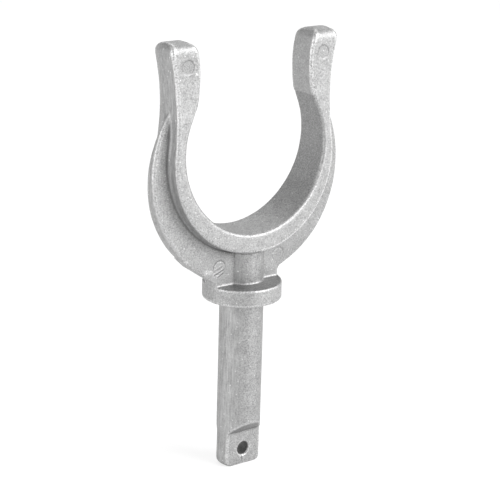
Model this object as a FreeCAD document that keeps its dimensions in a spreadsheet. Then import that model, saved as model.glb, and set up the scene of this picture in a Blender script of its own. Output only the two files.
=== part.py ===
"""Rowlock: a one-piece cast horn on a round pin, in millimetres.

The origin is on the pin's axis at the collar's underside, the face that seats on the
gunwale socket. +Z runs up through the horns, X runs across them and Y is the depth
of the casting, which the die parts at Y = 0. The half on the +X side is modelled with
its fillets and mirrored, and what crosses the middle, tang and hole, comes after that.
"""
import FreeCAD, Part
import math
import os
import Sketcher

# Driving sizes in millimetres. Heights are above the collar's underside, the mouth's rise
# is above the middle of the bowl, and drops are below the tip's top.
SIZES = {
    "pin_diameter": 12.7,
    "pin_length": 51.2,
    "pin_end_radius": 1.6,
    "tang_thickness": 5.4,
    "tang_length": 10.4,
    "tang_shoulder": 3.65,
    "lanyard_hole_diameter": 3.9,
    "lanyard_hole_inset": 4.8,
    "lanyard_hole_chamfer": 0.35,
    "collar_diameter": 22.8,
    "collar_height": 5.0,
    "collar_edge_radius": 0.4,
    "boss_diameter": 11.8,
    "foot_fillet": 0.6,
    "crotch_height": 20.2,
    "oar_opening": 47.3,
    "mouth_opening": 37.25,
    "mouth_rise": 22.15,
    "mouth_corner_radius": 3.8,
    "saddle_thickness": 5.6,
    "saddle_outer_radius": 27.1,
    "horn_flank_radius": 74.0,
    "waist_height": 55.5,
    "tip_height": 75.6,
    "tip_corner_radius": 3.5,
    "saddle_depth": 14.3,
    "tip_depth": 9.1,
    "tip_depth_drop": 13.6,
    "taper_blend_radius": 120.0,
    "tip_front_radius": 2.6,
    "tip_crown_drop": 0.7,
    "tip_crown_radius": 8.0,
    "saddle_edge_radius": 0.9,
    "rib_radius": 31.9,
    "rib_centre_height": 37.6,
    "rib_thickness": 5.6,
    "rib_edge_thickness": 2.2,
    "rib_taper_foot": 16.0,
    "rib_taper_top": 50.0,
    "rib_rim_radius": 0.9,
    "rib_root_fillet": 1.6,
    "neck_width": 21.6,
    "neck_fillet": 2.0,
    "ejector_mark_diameter": 4.0,
    "ejector_mark_depth": 0.15,
    "ejector_mark_drop": 6.6,
    "ejector_mark_spacing": 46.0,
    "cutter_overrun": 5.0,
}

# Ends of a sketch's lines and arcs, and the index of its origin.
START, END, CENTRE = range(1, 4)
ORIGIN = -1

# How close two measures of the same edge come, in millimetres.
MATCH = 0.01

# Points an edge is judged by.
SAMPLES = 7

# The kind of pocket that goes through everything.
THROUGH_ALL = 1

UP = FreeCAD.Vector(0, 0, 1)

doc = FreeCAD.newDocument("rowlock")
sheet = doc.addObject("Spreadsheet::Sheet", "dims")
for row, (word, number) in enumerate(SIZES.items(), start=1):
    sheet.set(f"A{row}", word)
    sheet.set(f"B{row}", str(number))
    sheet.setAlias(f"B{row}", word)
doc.recompute()

body = doc.addObject("PartDesign::Body", "rowlock")
body.Label = "rowlock"
DATUMS = {datum.Role: datum for datum in body.Origin.OriginFeatures}


def worth(formula):
    """What a formula of the sheet's sizes comes to."""
    return float(sheet.evalExpression(formula))


def from_sheet(formula):
    """The same formula as an object beside the sheet writes it."""
    words = [f"dims.{word}" if word in SIZES else word for word in formula.split()]
    return " ".join(words)


def new_sketch(name, plane):
    """A sketch of the body on one of its origin planes."""
    sketch = body.newObject("Sketcher::SketchObject", name)
    sketch.AttachmentSupport = [(DATUMS[plane], "")]
    sketch.MapMode = "FlatFace"
    return sketch


def bind(sketch, kind, *arguments):
    """Adds a dimension to the sketch, its value the formula given last."""
    *where, formula = arguments
    index = sketch.addConstraint(Sketcher.Constraint(kind, *where, worth(formula)))
    sketch.setExpression(f"Constraints[{index}]", from_sheet(formula))


def hold(sketch, geometry, point, x, y):
    """Holds a point of the sketch at the formulas x and y."""
    for kind, formula in (("DistanceX", x), ("DistanceY", y)):
        if formula == "0":
            zero = Sketcher.Constraint(kind, ORIGIN, START, geometry, point, 0.0)
            sketch.addConstraint(zero)
        else:
            bind(sketch, kind, ORIGIN, START, geometry, point, formula)


def tie(sketch, kind, first, first_end, second, second_end):
    """Joins an end of one line or arc to an end of another."""
    sketch.addConstraint(Sketcher.Constraint(kind, first, first_end, second, second_end))


def line_between(sketch, first, last):
    """A line between two points given as pairs of numbers."""
    ends = [FreeCAD.Vector(x, y, 0) for x, y in (first, last)]
    return sketch.addGeometry(Part.LineSegment(*ends), False)


def arc_about(sketch, x, y, radius, first, last):
    """An arc about x, y from one angle to another, in radians and anticlockwise."""
    whole = Part.Circle(FreeCAD.Vector(x, y, 0), UP, radius)
    return sketch.addGeometry(Part.ArcOfCircle(whole, first, last), False)


def close_on_axis(sketch, low, last):
    """A line up the middle that closes a half outline. Returns it, its start the low one."""
    axis = line_between(sketch, (0, low), (0, last))
    sketch.addConstraint(Sketcher.Constraint("Vertical", axis))
    return axis


def polygon(sketch, corners):
    """A closed outline through corners, each a pair of formulas. Returns its lines."""
    points = [(worth(x), worth(y)) for x, y in corners]
    following = points[1:] + points[:1]
    lines = [line_between(sketch, *pair) for pair in zip(points, following)]
    for line, next_line in zip(lines, lines[1:] + lines[:1]):
        tie(sketch, "Coincident", line, END, next_line, START)
    for line, (x, y) in zip(lines, corners):
        hold(sketch, line, START, x, y)
    return lines


def round_corner(sketch, line, radius):
    """Rounds the corner at a line's end, and leaves the corner's own place bound."""
    sketch.fillet(line, END, worth(radius), True, True, False)
    # The new arc comes just before the point that keeps the corner's place.
    arc = sketch.GeometryCount - 2
    bind(sketch, "Radius", arc, radius)


def circle(sketch, x, y, diameter):
    """A circle about the formulas x and y."""
    centre = FreeCAD.Vector(worth(x), worth(y), 0)
    index = sketch.addGeometry(Part.Circle(centre, UP, worth(diameter) / 2), False)
    hold(sketch, index, CENTRE, x, y)
    bind(sketch, "Diameter", index, diameter)


def feature(kind, name, profile, **settings):
    """A feature of the body made from a sketch, or from edges of the feature before it."""
    made = body.newObject(f"PartDesign::{kind}", name)
    if profile is not None:
        made.Profile = profile
    for setting, value in settings.items():
        if isinstance(value, str) and value.startswith("="):
            made.setExpression(setting, from_sheet(value[1:]))
        else:
            setattr(made, setting, value)
    doc.recompute()
    check(made)
    return made


def check(made):
    """Stops the build where an object has failed or has no sound shape."""
    if "Invalid" in made.State or "Error" in made.State:
        raise RuntimeError(f"{made.Name} failed")
    if made.Shape.isNull() or not made.Shape.isValid():
        raise RuntimeError(f"{made.Name} has no valid shape")


def cut_through(name, profile):
    """A cut both ways through the whole body, which must take metal off."""
    before = body.Shape.Volume
    cut = feature("Pocket", name, profile, Type=THROUGH_ALL, Midplane=True)
    removes_metal(cut, before)
    return cut


def removes_metal(cut, before):
    """Stops the build where a cut has missed the metal."""
    if cut.Shape.Volume > before - MATCH:
        raise RuntimeError(f"{cut.Name} cuts nothing")


def edges_where(made, test):
    """Names of a feature's edges whose every sampled point passes the test."""
    names = []
    for index, edge in enumerate(made.Shape.Edges, start=1):
        if all(test(point) for point in edge.discretize(SAMPLES)):
            names.append(f"Edge{index}")
    if not names:
        raise RuntimeError(f"no edge of {made.Name} passes")
    return names


def near(a, b):
    """Whether two measures are the same."""
    return abs(a - b) < MATCH


def on_arc(point, x, z, radius):
    """Whether a point stands on an arc about x, z, seen along the depth."""
    return near(math.hypot(point.x - x, point.z - z), radius)


# Crescent rib with its neck, a disc that thins as it climbs
# The horn and the oar opening later leave only its lower crescent in sight.

rib_radius = worth("rib_radius")
rib_z = worth("rib_centre_height")
neck_x = worth("neck_width / 2")
neck_round = worth("neck_fillet")
neck_z = worth("collar_height / 2")
turn_x = neck_x + neck_round
turn_z = rib_z - math.sqrt((rib_radius + neck_round) ** 2 - turn_x ** 2)
meet = math.atan2(rib_z - turn_z, -turn_x)

rib_outline = new_sketch("rib_outline", "XZ_Plane")
rim_arc = arc_about(rib_outline, 0, rib_z, rib_radius, meet - math.pi, math.pi / 2)
turn = arc_about(rib_outline, turn_x, turn_z, neck_round, meet, math.pi)
wall = line_between(rib_outline, (neck_x, turn_z), (neck_x, neck_z))
across = line_between(rib_outline, (neck_x, neck_z), (0, neck_z))
axis = close_on_axis(rib_outline, neck_z, rib_z + rib_radius)
tie(rib_outline, "Tangent", rim_arc, START, turn, START)
tie(rib_outline, "Tangent", turn, END, wall, START)
tie(rib_outline, "Coincident", wall, END, across, START)
tie(rib_outline, "Coincident", across, END, axis, START)
tie(rib_outline, "Coincident", axis, END, rim_arc, END)
rib_outline.addConstraint(Sketcher.Constraint("Vertical", wall))
hold(rib_outline, rim_arc, CENTRE, "0", "rib_centre_height")
bind(rib_outline, "Radius", rim_arc, "rib_radius")
bind(rib_outline, "Radius", turn, "neck_fillet")
hold(rib_outline, wall, END, "neck_width / 2", "collar_height / 2")
hold(rib_outline, axis, START, "0", "collar_height / 2")
feature("Pad", "rib_disc", rib_outline, Length="=rib_thickness", Midplane=True)

RIB_TOP = "rib_centre_height + rib_radius + cutter_overrun"
RIB_BOTTOM = "rib_centre_height - rib_radius - cutter_overrun"
RIB_OUT = "( rib_thickness / 2 + cutter_overrun )"

rib_trim = new_sketch("rib_trim", "YZ_Plane")
for side in ("", "- "):
    lines = polygon(rib_trim, [
        (f"{side}rib_thickness / 2", RIB_BOTTOM),
        (f"{side}rib_thickness / 2", "rib_taper_foot"),
        (f"{side}rib_edge_thickness / 2", "rib_taper_top"),
        (f"{side}rib_edge_thickness / 2", RIB_TOP),
        (f"{side}{RIB_OUT}", RIB_TOP),
        (f"{side}{RIB_OUT}", RIB_BOTTOM),
    ])
    round_corner(rib_trim, lines[0], "taper_blend_radius")
    round_corner(rib_trim, lines[1], "taper_blend_radius")
rib = cut_through("rib_taper", rib_trim)


def on_rib_rim(point):
    """Whether a point is on either edge of the rib's rim."""
    return on_arc(point, 0, rib_z, rib_radius) and abs(point.y) > MATCH


feature("Fillet", "rib_rim", None, Base=(rib, edges_where(rib, on_rib_rim)),
        Radius="=rib_rim_radius")

# Pin, collar and boss, half a turn about Z

FLAT_RADIUS = "collar_diameter / 2 - collar_edge_radius"

turned_profile = new_sketch("turned_profile", "XZ_Plane")
lines = polygon(turned_profile, [
    ("0", "- pin_length"),
    ("pin_diameter / 2", "- pin_length"),
    ("pin_diameter / 2", "0"),
    ("collar_diameter / 2", "0"),
    ("collar_diameter / 2", "collar_height"),
    ("boss_diameter / 2", "collar_height"),
    ("boss_diameter / 2", "crotch_height - saddle_thickness / 2"),
    ("0", "crotch_height - saddle_thickness / 2"),
])
round_corner(turned_profile, lines[0], "pin_end_radius")
round_corner(turned_profile, lines[2], "collar_edge_radius")
round_corner(turned_profile, lines[3], "collar_edge_radius")
turned = feature("Revolution", "turned", turned_profile,
                 ReferenceAxis=(turned_profile, ["V_Axis"]), Angle=180.0, Midplane=True)


def at_foot(point):
    """Whether a point is where the neck or the boss meets the collar's top."""
    inside_rim = math.hypot(point.x, point.y) < worth(FLAT_RADIUS) - MATCH
    return near(point.z, worth("collar_height")) and inside_rim


feature("Fillet", "foot", None, Base=(turned, edges_where(turned, at_foot)),
        Radius="=foot_fillet")

# Half the saddle and its horn, first as a block with their outline from outside
# The flank is a hollow arc, tangent to the saddle's round and upright at the waist.

SADDLE_CENTRE = "crotch_height - saddle_thickness + saddle_outer_radius"
BLOCK_TOP = "tip_height + tip_crown_drop"

saddle_radius = worth("saddle_outer_radius")
saddle_z = worth(SADDLE_CENTRE)
flank_radius = worth("horn_flank_radius")
waist_z = worth("waist_height")
block_z = worth(BLOCK_TOP)
lean = math.asin((waist_z - saddle_z) / (saddle_radius + flank_radius))
flank_x = (saddle_radius + flank_radius) * math.cos(lean)
reach = math.asin((block_z - waist_z) / flank_radius)
block_x = flank_x - flank_radius * math.cos(reach)

horn_outline = new_sketch("horn_outline", "XZ_Plane")
saddle = arc_about(horn_outline, 0, saddle_z, saddle_radius, -math.pi / 2, lean)
flank = arc_about(horn_outline, flank_x, waist_z, flank_radius, math.pi - reach, math.pi + lean)
across = line_between(horn_outline, (block_x, block_z), (0, block_z))
axis = close_on_axis(horn_outline, saddle_z - saddle_radius, block_z)
tie(horn_outline, "Tangent", saddle, END, flank, END)
tie(horn_outline, "Coincident", flank, START, across, START)
tie(horn_outline, "Coincident", across, END, axis, END)
tie(horn_outline, "Coincident", axis, START, saddle, START)
hold(horn_outline, saddle, CENTRE, "0", SADDLE_CENTRE)
bind(horn_outline, "Radius", saddle, "saddle_outer_radius")
bind(horn_outline, "DistanceY", ORIGIN, START, flank, CENTRE, "waist_height")
bind(horn_outline, "Radius", flank, "horn_flank_radius")
bind(horn_outline, "DistanceY", ORIGIN, START, across, START, BLOCK_TOP)
hold(horn_outline, axis, END, "0", BLOCK_TOP)
block = feature("Pad", "horn_block", horn_outline, Length="=saddle_depth + cutter_overrun",
                Midplane=True)


def at_outer_corner(point):
    """Whether a point is on the top outer corner of the block."""
    return near(point.z, block_z) and near(point.x, block_x)


names = edges_where(block, at_outer_corner)
feature("Fillet", "tip_corner", None, Base=(block, names), Radius="=tip_corner_radius")

# Taper of the horn's depth from the saddle to the tip, and the tip's crowned top

TRIM_FOOT = "( collar_height + crotch_height - saddle_thickness ) / 2"
TAPER_TOP = "( tip_height - tip_depth_drop )"
TAPER = f"( saddle_depth - tip_depth ) / ( {TAPER_TOP} - crotch_height ) / 2"
FOOT_HALF_DEPTH = f"( saddle_depth / 2 + {TAPER} * ( crotch_height - {TRIM_FOOT} ) )"
TRIM_OUT = "( saddle_depth / 2 + 2 * cutter_overrun )"

side_trim = new_sketch("side_trim", "YZ_Plane")
lines = polygon(side_trim, [
    (FOOT_HALF_DEPTH, TRIM_FOOT),
    ("tip_depth / 2", TAPER_TOP),
    ("tip_depth / 2", "tip_height - tip_crown_drop"),
    ("0", "tip_height"),
    ("- tip_depth / 2", "tip_height - tip_crown_drop"),
    ("- tip_depth / 2", TAPER_TOP),
    (f"- {FOOT_HALF_DEPTH}", TRIM_FOOT),
    (f"- {TRIM_OUT}", TRIM_FOOT),
    (f"- {TRIM_OUT}", "tip_height + cutter_overrun"),
    (TRIM_OUT, "tip_height + cutter_overrun"),
    (TRIM_OUT, TRIM_FOOT),
])
round_corner(side_trim, lines[0], "taper_blend_radius")
round_corner(side_trim, lines[1], "tip_front_radius")
round_corner(side_trim, lines[2], "tip_crown_radius")
round_corner(side_trim, lines[3], "tip_front_radius")
round_corner(side_trim, lines[4], "taper_blend_radius")
cut_through("side_taper", side_trim)

# Half the oar opening, a round bowl whose cheek closes in to the mouth at the tip

OAR_CENTRE = "( crotch_height + oar_opening / 2 )"
OPEN_TOP = "tip_height + cutter_overrun"
CORNER_HEIGHT = "tip_height - mouth_corner_radius"
MOUTH_HEIGHT = f"{OAR_CENTRE} + mouth_rise"
CHEEK_RADIUS = ("( ( mouth_opening / 2 ) ^ 2 + mouth_rise ^ 2 - ( oar_opening / 2 ) ^ 2 )"
                " / ( oar_opening - mouth_opening )")

oar_radius = worth("oar_opening / 2")
oar_z = worth(OAR_CENTRE)
mouth_z = worth(MOUTH_HEIGHT)
corner_round = worth("mouth_corner_radius")
corner_z = worth(CORNER_HEIGHT)
open_z = worth(OPEN_TOP)
cheek_radius = worth(CHEEK_RADIUS)
cheek_x = worth("mouth_opening / 2") + cheek_radius
lean = math.atan2(mouth_z - oar_z, cheek_x)
corner_x = cheek_x - math.sqrt((cheek_radius - corner_round) ** 2 - (corner_z - mouth_z) ** 2)
meet = math.atan2(corner_z - mouth_z, cheek_x - corner_x)

opening = new_sketch("oar_outline", "XZ_Plane")
bowl = arc_about(opening, 0, oar_z, oar_radius, -math.pi / 2, lean)
cheek = arc_about(opening, cheek_x, mouth_z, cheek_radius, math.pi - meet, math.pi + lean)
corner = arc_about(opening, corner_x, corner_z, corner_round, math.pi / 2, math.pi - meet)
wall = line_between(opening, (corner_x, corner_z + corner_round), (corner_x, open_z))
across = line_between(opening, (corner_x, open_z), (0, open_z))
axis = close_on_axis(opening, oar_z - oar_radius, open_z)
tie(opening, "Tangent", bowl, END, cheek, END)
tie(opening, "Tangent", cheek, START, corner, END)
tie(opening, "Coincident", corner, START, wall, START)
tie(opening, "Coincident", wall, END, across, START)
tie(opening, "Coincident", across, END, axis, END)
tie(opening, "Coincident", axis, START, bowl, START)
tie(opening, "Vertical", corner, CENTRE, corner, START)
opening.addConstraint(Sketcher.Constraint("Vertical", wall))
hold(opening, bowl, CENTRE, "0", OAR_CENTRE)
bind(opening, "Radius", bowl, "oar_opening / 2")
bind(opening, "DistanceY", ORIGIN, START, cheek, CENTRE, MOUTH_HEIGHT)
bind(opening, "Radius", cheek, CHEEK_RADIUS)
bind(opening, "DistanceY", ORIGIN, START, corner, CENTRE, CORNER_HEIGHT)
bind(opening, "Radius", corner, "mouth_corner_radius")
bind(opening, "DistanceY", ORIGIN, START, wall, END, OPEN_TOP)
hold(opening, axis, END, "0", OPEN_TOP)
oar_hollow = cut_through("oar_hollow", opening)


# Fillet where the rib runs into the saddle and fades out up the horn


def at_rib_root(point):
    """Whether a point is where the rib meets the outside of the saddle or the horn."""
    on_saddle = on_arc(point, 0, saddle_z, saddle_radius)
    on_flank = on_arc(point, flank_x, waist_z, flank_radius)
    return abs(point.y) < worth("rib_thickness / 2") + MATCH and (on_saddle or on_flank)


names = edges_where(oar_hollow, at_rib_root)
rib_root = feature("Fillet", "rib_root", None, Base=(oar_hollow, names), Radius="=rib_root_fillet")

# Rounded edges of the saddle, inside the opening and outside


def on_taper(point):
    """Whether a point is on the tapered front or back of the saddle."""
    widening = worth(TAPER) * (worth(TAPER_TOP) - point.z)
    return near(abs(point.y), worth("tip_depth / 2") + widening)


def at_opening_edge(point):
    """Whether a point is on an edge between the bowl and the tapered faces."""
    return on_taper(point) and on_arc(point, 0, oar_z, oar_radius)


def at_outer_edge(point):
    """Whether a point is on an edge between the saddle's outside and the tapered faces."""
    return on_taper(point) and on_arc(point, 0, saddle_z, saddle_radius)


names = edges_where(rib_root, at_opening_edge) + edges_where(rib_root, at_outer_edge)
feature("Fillet", "saddle_edges", None, Base=(rib_root, names), Radius="=saddle_edge_radius")

# Both halves

halves = feature("Mirrored", "halves", None, MirrorPlane=(DATUMS["YZ_Plane"], [""]),
                 TransformMode="Whole shape")
body.Tip = halves
doc.recompute()

# Tang at the pin's end, flat front and back below a sloping shoulder

SHOULDER_OUT = "( tang_thickness / 2 + tang_shoulder + cutter_overrun )"

tang_cut = new_sketch("tang_cut", "YZ_Plane")
for side in ("", "- "):
    polygon(tang_cut, [
        (f"{side}tang_thickness / 2", "tang_length - pin_length"),
        (f"{side}{SHOULDER_OUT}", "tang_length - pin_length + tang_shoulder + cutter_overrun"),
        (f"{side}{SHOULDER_OUT}", "- pin_length - cutter_overrun"),
        (f"{side}tang_thickness / 2", "- pin_length - cutter_overrun"),
    ])
cut_through("tang", tang_cut)

# Cross hole through the tang for a lanyard

HOLE_HEIGHT = "lanyard_hole_inset - pin_length"

hole_profile = new_sketch("lanyard_hole_profile", "XZ_Plane")
circle(hole_profile, "0", HOLE_HEIGHT, "lanyard_hole_diameter")
lanyard_hole = cut_through("lanyard_hole", hole_profile)


def at_hole_mouth(point):
    """Whether a point is on the cross hole's edge at either face of the tang."""
    on_edge = on_arc(point, 0, worth(HOLE_HEIGHT), worth("lanyard_hole_diameter / 2"))
    return on_edge and near(abs(point.y), worth("tang_thickness / 2"))


names = edges_where(lanyard_hole, at_hole_mouth)
feature("Chamfer", "lanyard_hole_edges", None, Base=(lanyard_hole, names),
        Size="=lanyard_hole_chamfer")

# Ejector pin marks on the front of the tips

mark_outline = new_sketch("ejector_mark_outline", "XZ_Plane")
mark_outline.setExpression("AttachmentOffset.Base.z", from_sheet("tip_depth / 2 - ejector_mark_depth"))
for side in ("", "- "):
    circle(mark_outline, f"{side}ejector_mark_spacing / 2", "tip_height - ejector_mark_drop",
           "ejector_mark_diameter")
before = body.Shape.Volume
marks = feature("Pocket", "ejector_marks", mark_outline, Reversed=True,
                Length="=ejector_mark_depth + cutter_overrun")
removes_metal(marks, before)

# Whole part

for item in doc.Objects:
    if "Invalid" in item.State or "Error" in item.State:
        raise RuntimeError(f"{item.Name} failed")
check(body)
if len(body.Shape.Solids) != 1:
    raise RuntimeError("the rowlock is not one solid")
os.makedirs("parts", exist_ok=True)
body.Shape.exportStep("parts/rowlock.step")
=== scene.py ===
"""Rowlock in cast aluminium, tumbled among stones and set on a plain stage.

A fine skin is laid over the rowlock's solid. Its points are moved for the casting's waviness
and marks, and carry how far the stones have worn them and where shade and highlights are painted,
which the finish reads.
The solid's frame holds: metres, +Z up through the horns, the front on the -Y side, and the
origin on the pin's axis at the collar's underside. Sizes here are millimetres.
"""
import math

import bmesh
import bpy
import numpy as np
from mathutils import Euler, Matrix, Vector, noise


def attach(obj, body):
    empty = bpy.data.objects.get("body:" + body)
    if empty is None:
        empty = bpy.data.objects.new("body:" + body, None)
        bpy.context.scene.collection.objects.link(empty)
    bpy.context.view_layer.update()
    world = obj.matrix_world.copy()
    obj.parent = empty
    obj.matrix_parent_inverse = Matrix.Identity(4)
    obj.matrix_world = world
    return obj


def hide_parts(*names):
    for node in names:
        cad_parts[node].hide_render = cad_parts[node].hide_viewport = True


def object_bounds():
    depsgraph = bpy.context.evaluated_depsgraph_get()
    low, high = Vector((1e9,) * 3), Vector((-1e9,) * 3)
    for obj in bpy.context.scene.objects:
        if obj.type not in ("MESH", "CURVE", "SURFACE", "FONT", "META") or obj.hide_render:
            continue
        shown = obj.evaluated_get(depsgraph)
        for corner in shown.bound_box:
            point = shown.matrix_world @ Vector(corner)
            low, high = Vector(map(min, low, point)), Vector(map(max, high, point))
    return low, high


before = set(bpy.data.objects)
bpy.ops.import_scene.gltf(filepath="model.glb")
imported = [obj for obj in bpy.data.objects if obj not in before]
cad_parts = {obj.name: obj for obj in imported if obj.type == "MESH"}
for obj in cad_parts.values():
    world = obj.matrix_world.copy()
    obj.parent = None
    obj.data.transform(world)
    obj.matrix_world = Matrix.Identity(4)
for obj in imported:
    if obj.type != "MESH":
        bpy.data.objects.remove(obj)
CAD_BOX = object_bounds()

bl_info = {
    "name": "Rowlock",
    "version": (1, 0, 0),
    "blender": (4, 5, 0),
    "location": "View3D > Sidebar > Rowlock",
    "description": "Dresses a cast rowlock with its finish and wear, and sets up its stage",
    "category": "Object",
}

MM = 0.001
NODE = "rowlock"


def linear(code):
    """An sRGB hex colour such as #a0a0a0 as linear red, green, blue and alpha."""
    channels = [int(code[index:index + 2], 16) / 255 for index in (1, 3, 5)]
    bent = [c / 12.92 if c <= 0.04045 else ((c + 0.055) / 1.055) ** 2.4 for c in channels]
    return (*bent, 1.0)


# What a user would change


def size_mm(name, description, default):
    """A length in millimetres for the panel."""
    return bpy.props.FloatProperty(name=name, description=description, default=default,
                                   min=0.0, precision=3)


def colour(name, description, code):
    """A colour for the panel, from its sRGB hex value."""
    return bpy.props.FloatVectorProperty(name=name, description=description, subtype="COLOR",
                                         size=4, min=0.0, max=1.0, default=linear(code))


def angle(name, description, degrees):
    """An angle for the panel."""
    return bpy.props.FloatProperty(name=name, description=description,
                                   default=math.radians(degrees), subtype="ANGLE",
                                   unit="ROTATION")


class CastingSettings(bpy.types.PropertyGroup):
    """Sizes and colours of the casting's surface."""

    mesh_step: size_mm("Mesh step", "Spacing of the skin's points, in mm", 0.37)
    wave_width: size_mm("Wave width", "Breadth of the casting's waviness, in mm", 9.0)
    wave_depth: size_mm("Wave depth", "Height of the waviness, in mm", 0.05)
    dimple_width: size_mm("Dimple width", "Breadth of the shallow dimples, in mm", 2.2)
    dimple_depth: size_mm("Dimple depth", "Height of the dimples, in mm", 0.03)
    ring_diameter: size_mm("Ring diameter", "Across a witness ring on the rib, in mm", 4.0)
    ring_depth: size_mm("Ring depth", "Depth of a witness ring, in mm", 0.1)
    scratch_width: size_mm("Scratch width", "Width of a scratch on the rib, in mm", 0.22)
    scratch_depth: size_mm("Scratch depth", "Depth of a scratch, in mm", 0.11)
    crease_height: size_mm("Crease height", "Where the trimmed inner face starts, in mm", 57.0)
    crease_depth: size_mm("Crease depth", "Metal left on above the crease, in mm", 0.22)
    # The stones' dents are about 0.1 mm across, too fine to show, so they are drawn this coarse
    grain_width: size_mm("Grain width", "Breadth of one dent of the tumbling, in mm", 0.4)
    mottle_width: size_mm("Mottle width", "Breadth of the pale and dark patches, in mm", 2.6)
    # A tool's lines are about 0.1 mm apart, too fine to show, and are drawn coarser too
    streak_width: size_mm("Streak width", "Breadth of one streak on the trimmed sides, in mm", 0.5)
    fleck_spacing: size_mm("Fleck spacing", "Breadth of the cells that hold a fleck, in mm", 1.6)
    # Hollow is the grey that painted shade darkens the skin towards; the tips' dull marks take it
    # too
    hollow: colour("Hollow", "Grey of the skin in corners that tumbling can't reach", "#545454")
    shade: colour("Shade", "Grey in the dents of the skin", "#8c8c8c")
    skin: colour("Skin", "Grey of the skin", "#c2c2c2")
    bright: colour("Bright", "Grey of burnished edges and flecks", "#f0f0f0")


class StageSettings(bpy.types.PropertyGroup):
    """The view and the floor."""

    view_azimuth: angle("View azimuth", "Heading of the view, from +Y towards +X", 37.245)
    view_elevation: angle("View elevation", "How far the view looks down", 17.21)
    view_roll: angle("View roll", "Lean of the camera", 1.607)
    view_distance: bpy.props.FloatProperty(
        name="View distance", description="From the aim to the camera",
        default=0.495, subtype="DISTANCE", unit="LENGTH")
    lens: bpy.props.FloatProperty(
        name="Lens", description="Focal length on a 36 mm sensor",
        default=124.78, subtype="DISTANCE_CAMERA", unit="CAMERA")
    floor_colour: colour("Floor", "Colour of the floor", "#8c8c8c")


# The casting's mesh

WELD_GAP = 0.0001
FINE_REACH = 3.0

# Corners of the trimmed gate's stub, from the rib's rim down to the collar's, seen from the front
GATE_STUB = ((-22.0, 14.2), (-19.0, 11.3), (-11.2, 6.0), (-11.2, 4.0), (-9.0, 4.0), (-9.0, 13.0),
             (-20.0, 15.0))
GATE_HALF_DEPTH = 2.8


def read(mesh, what):
    """A vertex property of the mesh, one row for each point."""
    values = np.empty(len(mesh.vertices) * 3)
    mesh.vertices.foreach_get(what, values)
    return values.reshape(-1, 3)


def write(mesh, points):
    """Moves the mesh's points."""
    mesh.vertices.foreach_set("co", points.ravel())
    mesh.update()


def settled(mesh, *modifiers):
    """The mesh with modifiers laid on it, each a name, a kind and its settings."""
    holder = bpy.data.objects.new("holder", mesh)
    bpy.context.scene.collection.objects.link(holder)
    for name, kind, settings in modifiers:
        modifier = holder.modifiers.new(name, kind)
        for key, value in settings.items():
            setattr(modifier, key, value)
    made = holder.evaluated_get(bpy.context.evaluated_depsgraph_get())
    result = bpy.data.meshes.new_from_object(made)
    bpy.data.objects.remove(holder)
    return result


def even_skin(node, step):
    """An even closed mesh over the node and the gate's stub, finer round the marks."""
    source = node.data.copy()
    shell = bmesh.new()
    shell.from_mesh(source)
    bmesh.ops.remove_doubles(shell, verts=shell.verts, dist=WELD_GAP * MM)
    add_gate_stub(shell)
    shell.to_mesh(source)
    shell.free()
    even = settled(source, ("Even mesh", "REMESH", {"mode": "VOXEL", "voxel_size": step * MM}))
    refine(even)
    target = bpy.data.objects.new("solid_with_stub", source)
    bpy.context.scene.collection.objects.link(target)
    skin = settled(
        even,
        ("Back on the surface", "SHRINKWRAP",
         {"target": target, "wrap_method": "NEAREST_SURFACEPOINT"}),
        ("Soft edges", "SMOOTH", {"factor": 0.5, "iterations": 1}))
    bpy.data.objects.remove(target)
    return skin


def add_gate_stub(shell):
    """The stub that the trimmed gate leaves between the rib's rim and the collar."""
    front, back = [
        [shell.verts.new(Vector((x, y, z)) * MM) for x, z in GATE_STUB]
        for y in (-GATE_HALF_DEPTH, GATE_HALF_DEPTH)]
    shell.faces.new(front[::-1])
    shell.faces.new(back)
    for index in range(len(front)):
        shell.faces.new((front[index - 1], front[index], back[index], back[index - 1]))
    bmesh.ops.recalc_face_normals(shell, faces=shell.faces)


def refine(mesh):
    """Cuts the mesh three times finer round the rings, the tips' marks and the scratches."""
    marked = [(x, RIB_FACE, z) for x, z, _ in RINGS]
    marked += [(x, TIP_FACE, z) for x, z, _ in TIP_MARKS]
    marked += [(x, face, z) for (x, z), _, face, _ in SCRATCHES]
    places = [Vector(place) * MM for place in marked]
    shell = bmesh.new()
    shell.from_mesh(mesh)
    close = [edge for edge in shell.edges
             if min((edge.verts[0].co - place).length for place in places) < FINE_REACH * MM]
    bmesh.ops.subdivide_edges(shell, edges=close, cuts=2, use_grid_fill=True)
    bmesh.ops.triangulate(shell, faces=[face for face in shell.faces if len(face.verts) > 4])
    shell.to_mesh(mesh)
    shell.free()


class Skin:
    """The even mesh before its marks: points in mm, normals, and the edges between points."""

    def __init__(self, mesh):
        self.points = read(mesh, "co") / MM
        self.normals = read(mesh, "normal")
        self.across, self.depth, self.height = self.points.T
        ends = np.empty(len(mesh.edges) * 2, dtype=np.int64)
        mesh.edges.foreach_get("vertices", ends)
        self.first, self.second = ends.reshape(-1, 2).T
        self.count = np.bincount(ends, minlength=len(mesh.vertices)).astype(float)

    def gather(self, to_first, to_second):
        """What the edges bring to each point, added up."""
        size = len(self.count)
        return (np.bincount(self.first, to_first, size)
                + np.bincount(self.second, to_second, size))

    def spread(self, values, passes):
        """The values evened out between neighbours, that many times."""
        for _ in range(passes):
            around = self.gather(values[self.second], values[self.first])
            values = (values + around) / (self.count + 1)
        return values

    def bulge(self):
        """How strongly each point bulges, in 1/mm, positive on an outside edge."""
        step = self.points[self.second] - self.points[self.first]
        square = (step ** 2).sum(1)
        total = self.gather(-2 * (step * self.normals[self.first]).sum(1) / square,
                            2 * (step * self.normals[self.second]).sum(1) / square)
        return total / self.count


def ramp(values, low, high):
    """0 below low, 1 above high and smooth between."""
    share = np.clip((values - low) / (high - low), 0.0, 1.0)
    return share * share * (3 - 2 * share)


def fade(gap, width):
    """1 on a line and fading out over about width to both sides of it."""
    return np.exp(-(gap / width) ** 2)


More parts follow.
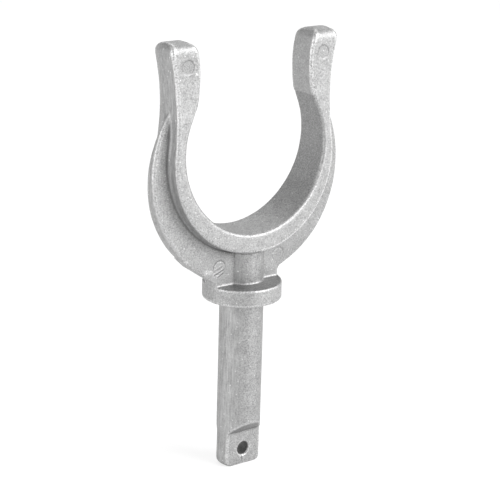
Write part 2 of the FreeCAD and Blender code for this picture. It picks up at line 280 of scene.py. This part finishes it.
def within(values, low, high):
    """Whether each value lies between low and high."""
    return (values > low) * (values < high)


def noise_at(points, width, seed):
    """Smooth noise from -1 to 1 at each point, one feature width across."""
    shift = Vector((seed, 2 * seed, 3 * seed))
    return np.array([noise.noise(Vector(point / width) + shift) for point in points])


def keep(mesh, name, values):
    """Stores a value from 0 to 1 for each point, for the finish to read."""
    layer = mesh.attributes.new(name, "FLOAT", "POINT")
    layer.data.foreach_set("value", np.clip(values, 0.0, 1.0).astype(np.float32))


# Marks on the front faces: where each face stands, and how far off it its points may lie

RIB_FACE = -2.8
TIP_FACE = -4.55
TANG_FACE = -2.7
FACE_REACH = 0.6

# Witness rings on the rib: across, height and strength
RINGS = ((-10.1, 10.7, 0.65), (10.5, 11.4, 0.4))
RING_LINE = 0.16
RING_SHADE = 0.2
RING_LIP = 0.35
RING_LEAN = (-1.5, 1.5)
RING_LEAST = 0.6
# How strong the painted highlight on a ring's lip and the painted shade along it are
RING_HIGHLIGHT = 0.25
RING_GROOVE_SHADE = 0.4

# Ejector marks on the tips: across, height and strength
TIP_MARKS = ((-23.0, 69.0, 1.0), (23.0, 69.0, 0.4))
TIP_DISC = (-0.2, 0.2)
TIP_OUTLINE = 0.3
TIP_SOFTENED = (0.4, 0.8)
TIP_DISC_DULL = 0.14
TIP_OUTLINE_DULL = 0.08

# Scratches: start and end, across and height, the face they are on and their strength
SCRATCHES = (
    ((-11.6, 9.9), (-9.1, 11.0), RIB_FACE, 0.35),
    ((-11.8, 8.6), (-8.6, 9.9), RIB_FACE, 0.8),
    ((-10.5, 8.0), (-8.8, 8.8), RIB_FACE, 0.8),
    ((-0.5, -48.6), (-0.5, -50.2), TANG_FACE, 0.6),
)
# How strong the painted highlight on a scratch's lip and the painted shade in it are
SCRATCH_HIGHLIGHT = 0.8
SCRATCH_SHADE = 0.8

# How far a scratch's painted highlight lies from it each way, in widths of the scratch
SCRATCH_LIP = 1.6

# Bright rough spots: across, height, the face they are on, their reach and their strength
SPOTS = (
    (-14.6, 10.1, RIB_FACE, 0.8, 0.5),
    (-13.2, 9.8, RIB_FACE, 0.8, 0.4),
    (-20.3, 67.0, TIP_FACE, 0.5, 0.8),
)

# Where a spot starts to fade and where it ends, as shares of its reach
SPOT_FADE = (0.5, 1.2)


def on_front(skin, face):
    """1 on the front face that stands at that depth, and 0 elsewhere."""
    return (np.abs(skin.depth - face) < FACE_REACH).astype(float)


def off_ring(skin, across, height, radius):
    """How far each point is from a ring on a front face, negative inside it."""
    return np.hypot(skin.across - across, skin.height - height) - radius


def off_line(skin, start, end, shift=(0.0, 0.0)):
    """How far each point is from a line on a front face, moved by shift."""
    flat = skin.points[:, [0, 2]] - shift
    along = np.subtract(end, start)
    share = np.clip(((flat - start) @ along) / (along @ along), 0.0, 1.0)
    gap = flat - (start + share[:, None] * along)
    return np.hypot(gap[:, 0], gap[:, 1])


def ring_marks(skin, settings):
    """How deep the witness rings are, with painted shade along each ring and a painted highlight
    on its inner lip, more so at their upper side.
    """
    deep, bright, dull = np.zeros((3, len(skin.points)))
    for across, height, strength in RINGS:
        lean = RING_LEAST + ramp(skin.height - height, *RING_LEAN)
        shown = strength * lean * on_front(skin, RIB_FACE)
        gap = off_ring(skin, across, height, settings.ring_diameter / 2)
        deep += settings.ring_depth * shown * fade(gap, RING_LINE)
        bright = np.maximum(bright, RING_HIGHLIGHT * shown * fade(gap + RING_LIP, RING_LINE))
        dull = np.maximum(dull, RING_GROOVE_SHADE * shown * fade(gap, RING_SHADE))
    return deep, bright, dull


def scratch_marks(skin, settings):
    """How deep the scratches are, with painted shade along each and a painted highlight on the lip
    beside it.
    """
    deep, bright, dull = np.zeros((3, len(skin.points)))
    width = settings.scratch_width
    aside = (-SCRATCH_LIP * width, SCRATCH_LIP * width)
    for start, end, face, strength in SCRATCHES:
        shown = strength * on_front(skin, face)
        line = shown * fade(off_line(skin, start, end), width)
        lip = shown * fade(off_line(skin, start, end, aside), width)
        deep += settings.scratch_depth * line
        bright = np.maximum(bright, SCRATCH_HIGHLIGHT * lip)
        dull = np.maximum(dull, SCRATCH_SHADE * line)
    return deep, bright, dull


def tip_marks(skin, settings):
    """How dull the tips' ejector marks are, a little more along their outlines."""
    dull = np.zeros(len(skin.points))
    for across, height, strength in TIP_MARKS:
        gap = off_ring(skin, across, height, settings.ring_diameter / 2)
        disc = TIP_DISC_DULL * (1 - ramp(gap, *TIP_DISC))
        outline = TIP_OUTLINE_DULL * fade(gap, TIP_OUTLINE)
        dull = np.maximum(dull, strength * on_front(skin, TIP_FACE) * (disc + outline))
    return dull


def tip_outlines(skin, settings):
    """1 along the outlines of the tips' ejector marks, and 0 elsewhere."""
    gaps = [off_ring(skin, across, height, settings.ring_diameter / 2)
            for across, height, _ in TIP_MARKS]
    nearest = np.min(np.abs(gaps), axis=0)
    return on_front(skin, TIP_FACE) * (1 - ramp(nearest, *TIP_SOFTENED))


def rough_spots(skin):
    """How bright the rough spots are."""
    bright = np.zeros(len(skin.points))
    for across, height, face, reach, strength in SPOTS:
        share = off_ring(skin, across, height, 0.0) / reach
        spot = strength * on_front(skin, face) * (1 - ramp(share, *SPOT_FADE))
        bright = np.maximum(bright, spot)
    return bright


def marks(skin, settings):
    """How deep all the marks together are at each point, how bright their painted highlights and
    bright spots are, and how dark their painted shade and the tips' dull marks are.
    """
    ring_deep, ring_bright, ring_dull = ring_marks(skin, settings)
    cut_deep, cut_bright, cut_dull = scratch_marks(skin, settings)
    bright = np.max([ring_bright, cut_bright, rough_spots(skin)], axis=0)
    dull = np.max([ring_dull, cut_dull, tip_marks(skin, settings)], axis=0)
    return ring_deep + cut_deep, bright, dull


# Places on the casting: heights, radii and breadths in mm

SHOULDER_FOOT = -46.0
SHOULDER_TOP = -38.0
PIN_END = CAD_BOX[0].z / MM
END_MARGIN = 0.5
COLLAR_TOP = 5.0
COLLAR_MARGIN = 0.2
LEDGE_RADIUS = CAD_BOX[1].y / MM - 0.2
LEDGE_REACH = 0.3
WALL_SIDES = (-7.0, 1.0)
NECK_FOOT = 5.4
FOOT_LINE = (0.5, 0.9)
BOSS_FOOT = 6.0
BOSS_REACH = 7.5
GATE_SIDE = -10.0
GATE_TOP = 13.0
RIB_FOOT = 8.0
RIB_TOP = 52.0
RIB_HALF_DEPTH = 3.4
RIB_SIDE = (7.0, 12.0)
SADDLE_CENTRE = 41.7
SADDLE_FOOT = 9.0
RIM_RADIUS = 25.9
RIM_DEPTH = 4.2
RIM_SIDE = 1.0
BOWL_RADIUS = 24.5
BOWL_LIP_TOP = 34.0
BOWL_SIDES = (24.0, 42.0)
CREASE_HALF = 0.3
HORN_INSIDE = 22.5
TAIL_FOOT = 50.0
TAIL_TOP = 57.5
TAIL_FADE = 2.0
TAIL_DEPTH = -0.5
TAIL_WIDTH = 0.5

# How far a face looks along an axis, from 0 when it looks past it to 1 when it looks along it
FLAT = (0.7, 0.9)
SLOPING = (0.3, 0.8)
OUTWARD = (0.45, 0.8)
INWARD = 0.3
SIDEWAYS = 0.8
ROOT_FACING = 0.76
ROOT_SPREAD = 0.14

# Each function below gives a share from 0 to 1 for every point


def collar_wall_highlight(skin):
    """The collar's wall, more so towards the +X side, which gets a painted highlight."""
    wall = np.abs(skin.height - COLLAR_TOP / 2) < COLLAR_TOP / 2
    return wall * ramp(skin.across, *WALL_SIDES)


def neck_foot(skin):
    """The line where the neck and the boss stand on the collar, which gets a painted highlight."""
    return 1 - ramp(np.abs(skin.height - NECK_FOOT), *FOOT_LINE)


def gate_surround(skin):
    """The gate's stub and the sides of the boss, where the stones hardly rub."""
    stub = (skin.across < GATE_SIDE) * within(skin.height, COLLAR_TOP, GATE_TOP)
    boss = (np.abs(skin.across) < BOSS_REACH) * within(skin.height, BOSS_FOOT, GATE_TOP)
    return np.maximum(stub, boss)


def ledge_and_shoulder_shade(skin):
    """The collar's up-facing ledge and the tang's down-facing shoulder, which get painted shade.
    """
    level = np.abs(skin.height - COLLAR_TOP) < LEDGE_REACH
    ledge = level * (np.hypot(skin.across, skin.depth) < LEDGE_RADIUS)
    shoulder = within(skin.height, SHOULDER_FOOT, SHOULDER_TOP)
    return np.maximum(ledge * ramp(skin.normals[:, 2], *FLAT),
                      shoulder * ramp(-skin.normals[:, 2], *SLOPING))


def outer_rim_highlight(skin):
    """The saddle's outer rim on the +X side, whose worn edge also gets a strong painted highlight.
    """
    beyond = np.hypot(skin.across, skin.height - SADDLE_CENTRE) > RIM_RADIUS
    proud = np.abs(skin.depth) > RIM_DEPTH
    return beyond * proud * (skin.across > RIM_SIDE) * within(skin.height, SADDLE_FOOT, RIB_TOP)


def bowl_lip(skin):
    """The saddle's inner rim round the bottom of the bowl."""
    inner = np.hypot(skin.across, skin.height - SADDLE_CENTRE) < BOWL_RADIUS
    return inner * (skin.height < BOWL_LIP_TOP)


def rib_faces(skin):
    """The rib's flat faces on the +X side, which the saddle shades a little and which get painted
    shade.
    """
    flat = ramp(np.abs(skin.normals[:, 1]), *FLAT) * (np.abs(skin.depth) < RIB_HALF_DEPTH)
    return flat * ramp(skin.across, *RIB_SIDE) * within(skin.height, RIB_FOOT, RIB_TOP)


def rib_root(skin):
    """The fillets along the rib's root, which face half sideways."""
    return fade(np.abs(skin.normals[:, 1]) - ROOT_FACING, ROOT_SPREAD)


def shaded_bowl_sides(skin):
    """The bowl's inward-facing sides, more so upwards, which get painted shade."""
    inward = -np.sign(skin.across) * skin.normals[:, 0] > INWARD
    return inward * ramp(skin.height, *BOWL_SIDES)


def above_crease(skin, settings):
    """The horns' inner sides above the crease."""
    low = settings.crease_height - CREASE_HALF
    high = settings.crease_height + CREASE_HALF
    return (np.abs(skin.across) < HORN_INSIDE) * ramp(skin.height, low, high)


def trimmed_face(skin, settings):
    """The smooth faces that trimming has left above the crease."""
    return above_crease(skin, settings) * (np.abs(skin.normals[:, 0]) > SIDEWAYS)


def drawn_sides(skin):
    """The horns' and the pin's outer sides, which the trimming tool was drawn along."""
    outward = ramp(np.sign(skin.across) * skin.normals[:, 0], *OUTWARD)
    collar = np.abs(skin.height - COLLAR_TOP / 2) < COLLAR_TOP / 2 + COLLAR_MARGIN
    return outward * (skin.height > PIN_END + END_MARGIN) * ~collar


def rib_tail(skin):
    """The faint ridge where the rib runs out on the horn."""
    started = ramp(skin.height, TAIL_FOOT, TAIL_FOOT + TAIL_FADE)
    ended = ramp(skin.height, TAIL_TOP - TAIL_FADE, TAIL_TOP)
    return started * (1 - ended) * drawn_sides(skin) * fade(skin.depth - TAIL_DEPTH, TAIL_WIDTH)


# What casting, trimming and tumbling have done to each point, and where shade and highlights are
# painted

WAVE_SEED = 3
DIMPLE_SEED = 7
CREASE_RUN = 9.0
TAIL_RISE = 0.2
EDGE_PASSES = 3
OUTLINE_PASSES = 6

# How strongly the surface bulges, in 1/mm, where each kind of wear, painted shade or painted
# highlight starts and where it is full
EDGE_WEAR = (0.24, 0.44)
SHARP_WEAR = (0.62, 1.0)
CORNER_SHADING = (0.14, 0.3)
FOOT_HIGHLIGHT_BULGE = (0.2, 0.6)

# Between which heights the horns' stronger wear sets in
HORN_WEAR = (48.0, 60.0)

# How strongly each place is burnished or given a painted highlight, 0 to 1, and how far some
# places are spared
EDGE_BURNISH = 0.36
HORN_BURNISH = 0.3
SHARP_BURNISH = 0.25
RIM_WEAR_AND_HIGHLIGHT = 0.9
WALL_HIGHLIGHT = 0.15
FOOT_HIGHLIGHT = 0.1
TAIL_BURNISH = 0.4
BOWL_SPARED = 0.45
GATE_SPARED = 0.7

# How strongly each place is darkened with painted shade, 0 to 1
CORNER_SHADE = 0.18
ROOT_SHADE = 0.62
LEDGE_SHOULDER_SHADE = 0.4
BOWL_SHADE = 0.25
RIB_SHADE = 0.13


def raised(skin, settings, deep):
    """How far the surface stands out of the solid at each point, in mm."""
    waves = settings.wave_depth * noise_at(skin.points, settings.wave_width, WAVE_SEED)
    dimples = settings.dimple_depth * noise_at(skin.points, settings.dimple_width, DIMPLE_SEED)
    thinned = 1 - ramp(skin.height, settings.crease_height, settings.crease_height + CREASE_RUN)
    crease = settings.crease_depth * trimmed_face(skin, settings) * thinned
    return waves + dimples + crease + TAIL_RISE * rib_tail(skin) - deep


def burnished(skin, edge, bright):
    """How far the stones have burnished each point, from how it bulges and its bright marks, with
    painted highlights on the +X rim, the collar wall, the neck's foot and the marks' lips.
    """
    rubbing = 1 - GATE_SPARED * gate_surround(skin)
    wear = EDGE_BURNISH + HORN_BURNISH * ramp(skin.height, *HORN_WEAR)
    wear = wear * (1 - BOWL_SPARED * bowl_lip(skin))
    worn_edge = ramp(edge, *EDGE_WEAR)
    edges = rubbing * (wear * worn_edge + SHARP_BURNISH * ramp(edge, *SHARP_WEAR))
    # The +X rim, the collar wall and the neck's foot get painted highlights as well as wear
    rim = RIM_WEAR_AND_HIGHLIGHT * rubbing * outer_rim_highlight(skin) * worn_edge
    wall = WALL_HIGHLIGHT * collar_wall_highlight(skin)
    foot_highlight = FOOT_HIGHLIGHT * neck_foot(skin) * ramp(-edge, *FOOT_HIGHLIGHT_BULGE)
    tail = TAIL_BURNISH * rib_tail(skin)
    return np.max([edges, rim, wall, foot_highlight, tail, bright], axis=0)


def shade_and_dull_marks(skin, settings, edge, dull):
    """How dark each point is painted: painted shade in hollow corners, the rib's root, the ledge,
    the shoulder, the bowl, the rib's +X faces and along the rings and scratches, and the tips'
    dull marks.
    """
    rubbing = 1 - GATE_SPARED * gate_surround(skin)
    # Painted shade in concave corners, strongest in the groove along the rib's root
    hollow = ramp(-edge, *CORNER_SHADING) * (1 - neck_foot(skin)) * rubbing
    corner = (CORNER_SHADE + ROOT_SHADE * rib_root(skin)) * hollow
    # Painted shade on the up-facing ledge and the down-facing shoulder
    ledge_and_shoulder_shading = LEDGE_SHOULDER_SHADE * ledge_and_shoulder_shade(skin)
    # Painted shade on the bowl's inner sides below the crease
    rough = BOWL_SHADE * shaded_bowl_sides(skin) * (1 - above_crease(skin, settings))
    # Painted shade on the rib's +X faces, added to the marks' painted shade and dull marks
    rib = RIB_SHADE * rib_faces(skin)
    return np.max([corner, ledge_and_shoulder_shading, rough, rib + dull], axis=0)


class ROWLOCK_OT_casting(bpy.types.Operator):
    """Lays the cast skin over the solid, with its waviness, marks and burnished edges"""

    bl_idname = "rowlock.casting"
    bl_label = "Casting"

    def execute(self, context):
        settings = context.scene.rowlock_casting
        mesh = even_skin(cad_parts[NODE], settings.mesh_step)
        skin = Skin(mesh)
        deep, bright, dull = marks(skin, settings)
        outlines = tip_outlines(skin, settings)
        edge = skin.spread(skin.bulge(), EDGE_PASSES) * (1 - outlines)
        placed = skin.points + skin.normals * raised(skin, settings, deep)[:, None]
        placed[:, 1] += outlines * (skin.spread(placed[:, 1], OUTLINE_PASSES) - placed[:, 1])
        write(mesh, placed * MM)
        # The burnish attribute holds the stones' wear and the painted highlights
        keep(mesh, "burnish", burnished(skin, edge, bright))
        # The dull attribute holds painted shade and the tips' dull marks
        keep(mesh, "dull", shade_and_dull_marks(skin, settings, edge, dull))
        keep(mesh, "smooth_face", trimmed_face(skin, settings))
        keep(mesh, "drawn", drawn_sides(skin))
        mesh.polygons.foreach_set("use_smooth", [True] * len(mesh.polygons))
        mesh.materials.clear()
        mesh.materials.append(tumbled_aluminium(settings))
        piece = bpy.data.objects.new("casting", mesh)
        context.scene.collection.objects.link(piece)
        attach(piece, "root")
        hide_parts(NODE)
        return {"FINISHED"}


# The casting's finish

STREAK_STRETCH = 0.1
STREAK_SHARE = 0.6
MOTTLE_SHARE = 0.16
EVEN_SHARE = 0.2
EVEN_LEVEL = 0.7
RAGGEDNESS = 0.6
# How far the painted shade in closed corners reaches, in mm
CORNER_SHADE_REACH = 8.0
DENT_DEPTH = 0.07

# Numbers of the Mix node's sockets, whose names repeat for each kind of data
FACTOR = 0
NUMBER_A, NUMBER_B, NUMBER_RESULT = 2, 3, 0
COLOUR_A, COLOUR_B, COLOUR_RESULT = 6, 7, 2


def add_node(tree, kind, settings=None, links=None):
    """Adds a shader node with its settings and what its sockets are linked from."""
    node = tree.nodes.new(kind)
    for key, value in (settings or {}).items():
        if isinstance(key, int) or key in node.inputs:
            node.inputs[key].default_value = value
        else:
            setattr(node, key, value)
    for key, source in (links or {}).items():
        tree.links.new(source, node.inputs[key])
    return node


def per(width_mm):
    """The texture scale at which one feature is width_mm across."""
    return 1.0 / (width_mm * MM)


def tumbled_aluminium(settings):
    """Cast aluminium, tumbled.

    It is a matt light grey with fine bright flecks where the stones struck, faint pale and
    dark patches of the casting skin, and fine streaks along the sides that were trimmed.
    Corners, grooves and other shaded places are darkened with painted shade. The edges that the
    stones have burnished are paler and smoother, in short broken streaks, and some edges and lips
    carry painted highlights.
    """
    material = bpy.data.materials.new("cast_aluminium_tumbled")
    material.use_nodes = True
    tree = material.node_tree
    burnish, dull, smooth_face, drawn = [
        add_node(tree, "ShaderNodeAttribute", {"attribute_name": name}).outputs["Fac"]
        for name in ("burnish", "dull", "smooth_face", "drawn")]
    grain, mottle, streak, cells = patterns(tree, settings)
    relief = dents(tree, grain, mottle, streak, drawn)
    grey = skin_grey(tree, settings, relief, smooth_face)
    flecked = with_flecks(tree, settings, grey, grain, cells)
    shine = broken_burnish(tree, burnish, grain)
    # Burnish and painted highlights pale and smooth the grey here
    rubbed = add_node(
        tree, "ShaderNodeMix", {"data_type": "RGBA", COLOUR_B: settings.bright},
        {FACTOR: shine, COLOUR_A: flecked}).outputs[COLOUR_RESULT]
    # Painted shade in corners and shaded places darkens the grey towards Hollow
    tone = add_node(
        tree, "ShaderNodeMix", {"data_type": "RGBA", COLOUR_B: settings.hollow},
        {FACTOR: painted_shade_and_dull(tree, dull), COLOUR_A: rubbed}).outputs[COLOUR_RESULT]
    gloss = add_node(
        tree, "ShaderNodeMapRange", {"To Min": 0.6, "To Max": 0.42},
        {"Value": shine}).outputs["Result"]
    bump = add_node(
        tree, "ShaderNodeBump", {"Strength": 1.0, "Distance": DENT_DEPTH * MM},
        {"Height": relief}).outputs["Normal"]
    shader = tree.nodes["Principled BSDF"]
    shader.inputs["Metallic"].default_value = 1.0
    tree.links.new(tone, shader.inputs["Base Color"])
    tree.links.new(gloss, shader.inputs["Roughness"])
    tree.links.new(bump, shader.inputs["Normal"])
    return material


def patterns(tree, settings):
    """The grain, the mottle and the streaks, and how far each point is from a fleck's middle."""
    place = add_node(tree, "ShaderNodeTexCoord").outputs["Object"]
    stretched = add_node(
        tree, "ShaderNodeMapping", {"Scale": (1.0, 1.0, STREAK_STRETCH)},
        {"Vector": place}).outputs["Vector"]
    noises = [
        add_node(tree, "ShaderNodeTexNoise",
                 {"Scale": per(width), "Detail": 3.0, "Roughness": roughness},
                 {"Vector": vector}).outputs["Fac"]
        for width, roughness, vector in (
            (settings.grain_width, 0.65, place),
            (settings.mottle_width, 0.5, place),
            (settings.streak_width, 0.6, stretched))]
    cells = add_node(
        tree, "ShaderNodeTexVoronoi", {"Scale": per(settings.fleck_spacing)},
        {"Vector": place}).outputs["Distance"]
    return *noises, cells


def dents(tree, grain, mottle, streak, drawn):
    """The height of the dented skin, streaked along the drawn sides."""
    share = add_node(
        tree, "ShaderNodeMath", {"operation": "MULTIPLY", 1: STREAK_SHARE},
        {0: drawn}).outputs[0]
    fine = add_node(
        tree, "ShaderNodeMix", {"data_type": "FLOAT"},
        {FACTOR: share, NUMBER_A: grain, NUMBER_B: streak}).outputs[NUMBER_RESULT]
    return add_node(
        tree, "ShaderNodeMix", {"data_type": "FLOAT", FACTOR: MOTTLE_SHARE},
        {NUMBER_A: fine, NUMBER_B: mottle}).outputs[NUMBER_RESULT]


def skin_grey(tree, settings, relief, smooth_face):
    """The grey of the skin, darker in its dents and more even on the smooth faces."""
    level = add_node(
        tree, "ShaderNodeMapRange", {"From Min": 0.34, "From Max": 0.66},
        {"Value": relief}).outputs["Result"]
    calm = add_node(
        tree, "ShaderNodeMath", {"operation": "MULTIPLY", 1: EVEN_SHARE},
        {0: smooth_face}).outputs[0]
    evened = add_node(
        tree, "ShaderNodeMix", {"data_type": "FLOAT", NUMBER_B: EVEN_LEVEL},
        {FACTOR: calm, NUMBER_A: level}).outputs[NUMBER_RESULT]
    return add_node(
        tree, "ShaderNodeMix",
        {"data_type": "RGBA", COLOUR_A: settings.shade, COLOUR_B: settings.skin},
        {FACTOR: evened}).outputs[COLOUR_RESULT]


def with_flecks(tree, settings, grey, grain, cells):
    """The grey with ragged bright flecks where stones have struck hard.

    A real fleck is about 0.2 mm across, too fine to show, so it is drawn twice as large.
    """
    ragged = add_node(
        tree, "ShaderNodeMath", {"operation": "MULTIPLY_ADD", 1: RAGGEDNESS},
        {0: grain, 2: cells}).outputs[0]
    fleck = add_node(
        tree, "ShaderNodeMapRange", {"From Min": 0.42, "From Max": 0.35, "To Max": 0.7},
        {"Value": ragged}).outputs["Result"]
    return add_node(
        tree, "ShaderNodeMix", {"data_type": "RGBA", COLOUR_B: settings.bright},
        {FACTOR: fleck, COLOUR_A: grey}).outputs[COLOUR_RESULT]


def broken_burnish(tree, burnish, grain):
    """The burnish, broken where a dent lies below the stones' reach."""
    reached = add_node(
        tree, "ShaderNodeMapRange", {"From Min": 0.33, "From Max": 0.55},
        {"Value": grain}).outputs["Result"]
    return add_node(
        tree, "ShaderNodeMath", {"operation": "MULTIPLY"},
        {0: burnish, 1: reached}).outputs[0]


def painted_shade_and_dull(tree, dull):
    """How dark the skin is painted: painted shade in closed corners, from how closed they are, and
    the dull places.
    """
    openness = add_node(
        tree, "ShaderNodeAmbientOcclusion",
        {"samples": 8, "Distance": CORNER_SHADE_REACH * MM}).outputs["AO"]
    closed = add_node(
        tree, "ShaderNodeMapRange", {"From Min": 0.62, "From Max": 0.1, "To Max": 0.8},
        {"Value": openness}).outputs["Result"]
    return add_node(
        tree, "ShaderNodeMath", {"operation": "MAXIMUM"}, {0: closed, 1: dull}).outputs[0]


# The stage, in metres

AIM = Vector((0.00368, 0.00147, 0.01259))
SENSOR_WIDTH_MM = 36.0
FLOOR_Z = CAD_BOX[0].z
FLOOR_RADIUS = 6.0
FLOOR_CORNERS = 64
FLOOR_GLOW = 0.75
SURROUND_STRENGTH = 0.46
LAMP_DISTANCE = 1.2
LAMP_SIZE = 0.9
WHITE = (1.0, 1.0, 1.0, 1.0)

# Soft lights: name, heading and height in degrees seen from the aim, and power in watts
LAMPS = (
    ("key_light", -32, 30, 17.6),
    ("left_light", 93, 11, 8.2),
    ("back_light", -143, 50, 3.2),
)


def towards(azimuth, elevation, distance):
    """The point seen from the aim at that heading and height, distance away."""
    level = math.cos(elevation) * distance
    return AIM + Vector((-math.sin(azimuth) * level, -math.cos(azimuth) * level,
                         math.sin(elevation) * distance))


def aimed(place, roll=0.0):
    """A placement at place that looks at the aim, with -Z forwards and its top up."""
    heading = (AIM - place).to_track_quat("-Z", "Y").to_matrix()
    return Matrix.Translation(place) @ (heading @ Euler((0, 0, roll)).to_matrix()).to_4x4()


class ROWLOCK_OT_stage(bpy.types.Operator):
    """Sets up the floor, the soft light and the camera"""

    bl_idname = "rowlock.stage"
    bl_label = "Stage"

    def execute(self, context):
        settings = context.scene.rowlock_stage
        context.scene.view_settings.view_transform = "Standard"
        lay_floor(context.scene, settings)
        light_surround(context.scene)
        for name, azimuth, elevation, power in LAMPS:
            hang_lamp(context.scene, name, azimuth, elevation, power)
        set_camera(context.scene, settings)
        return {"FINISHED"}


def lay_floor(scene, settings):
    """A plain pale floor under the tang's end."""
    sheet = bmesh.new()
    bmesh.ops.create_circle(sheet, cap_ends=True, segments=FLOOR_CORNERS, radius=FLOOR_RADIUS)
    mesh = bpy.data.meshes.new("floor")
    sheet.to_mesh(mesh)
    sheet.free()
    mesh.materials.append(painted_board(settings))
    floor = bpy.data.objects.new("floor", mesh)
    floor.location.z = FLOOR_Z
    scene.collection.objects.link(floor)


def painted_board(settings):
    """Board, painted matt.

    It has no gloss. Its glow is met only by rays that look at it or mirror it, so it looks
    white, keeps the object's shadow and throws no more light on the object than its grey does.
    """
    material = bpy.data.materials.new("board_painted_matt")
    material.use_nodes = True
    tree = material.node_tree
    rays = add_node(tree, "ShaderNodeLightPath").outputs
    direct = add_node(
        tree, "ShaderNodeMath", {"operation": "ADD"},
        {0: rays["Is Camera Ray"], 1: rays["Is Glossy Ray"]}).outputs[0]
    seen = add_node(
        tree, "ShaderNodeMath", {"operation": "ADD"},
        {0: direct, 1: rays["Is Transmission Ray"]}).outputs[0]
    glow = add_node(
        tree, "ShaderNodeMath", {"operation": "MULTIPLY", 1: FLOOR_GLOW},
        {0: seen}).outputs[0]
    shader = tree.nodes["Principled BSDF"]
    shader.inputs["Base Color"].default_value = settings.floor_colour
    shader.inputs["Roughness"].default_value = 0.9
    shader.inputs["Emission Color"].default_value = WHITE
    tree.links.new(glow, shader.inputs["Emission Strength"])
    return material


def light_surround(scene):
    """A plain pale surround."""
    world = bpy.data.worlds.new("studio")
    world.use_nodes = True
    background = world.node_tree.nodes["Background"]
    background.inputs["Color"].default_value = WHITE
    background.inputs["Strength"].default_value = SURROUND_STRENGTH
    scene.world = world


def hang_lamp(scene, name, azimuth, elevation, power):
    """A square soft light, aimed at the object from angles in degrees."""
    data = bpy.data.lights.new(name, "AREA")
    data.shape = "SQUARE"
    data.size = LAMP_SIZE
    data.energy = power
    lamp = bpy.data.objects.new(name, data)
    place = towards(math.radians(azimuth), math.radians(elevation), LAMP_DISTANCE)
    lamp.matrix_world = aimed(place)
    scene.collection.objects.link(lamp)


def set_camera(scene, settings):
    """The camera, looking at the aim."""
    lens = bpy.data.cameras.new("camera")
    lens.sensor_width = SENSOR_WIDTH_MM
    lens.lens = settings.lens
    camera = bpy.data.objects.new("camera", lens)
    place = towards(settings.view_azimuth, settings.view_elevation, settings.view_distance)
    camera.matrix_world = aimed(place, settings.view_roll)
    scene.collection.objects.link(camera)
    scene.camera = camera


class ROWLOCK_PT_panel(bpy.types.Panel):
    """Lists the casting and the stage"""

    bl_label = "Rowlock"
    bl_idname = "ROWLOCK_PT_panel"
    bl_space_type = "VIEW_3D"
    bl_region_type = "UI"
    bl_category = "Rowlock"

    def draw(self, context):
        for operator, settings in STEPS:
            box = self.layout.box()
            for name in settings.__annotations__:
                box.prop(getattr(context.scene, SETTINGS[settings]), name)
            box.operator(operator.bl_idname)


STEPS = (
    (ROWLOCK_OT_casting, CastingSettings),
    (ROWLOCK_OT_stage, StageSettings),
)
SETTINGS = {CastingSettings: "rowlock_casting", StageSettings: "rowlock_stage"}
CLASSES = (CastingSettings, StageSettings, ROWLOCK_OT_casting, ROWLOCK_OT_stage,
           ROWLOCK_PT_panel)


def register():
    """Makes the operators, the panel and their settings known."""
    for each in CLASSES:
        bpy.utils.register_class(each)
    for settings, name in SETTINGS.items():
        setattr(bpy.types.Scene, name, bpy.props.PointerProperty(type=settings))


def unregister():
    """Takes away what register has made."""
    for name in SETTINGS.values():
        delattr(bpy.types.Scene, name)
    for each in reversed(CLASSES):
        bpy.utils.unregister_class(each)


def main():
    """Makes the casting and the stage."""
    register()
    bpy.ops.rowlock.casting()
    bpy.ops.rowlock.stage()


if __name__ == "__main__":
    main()
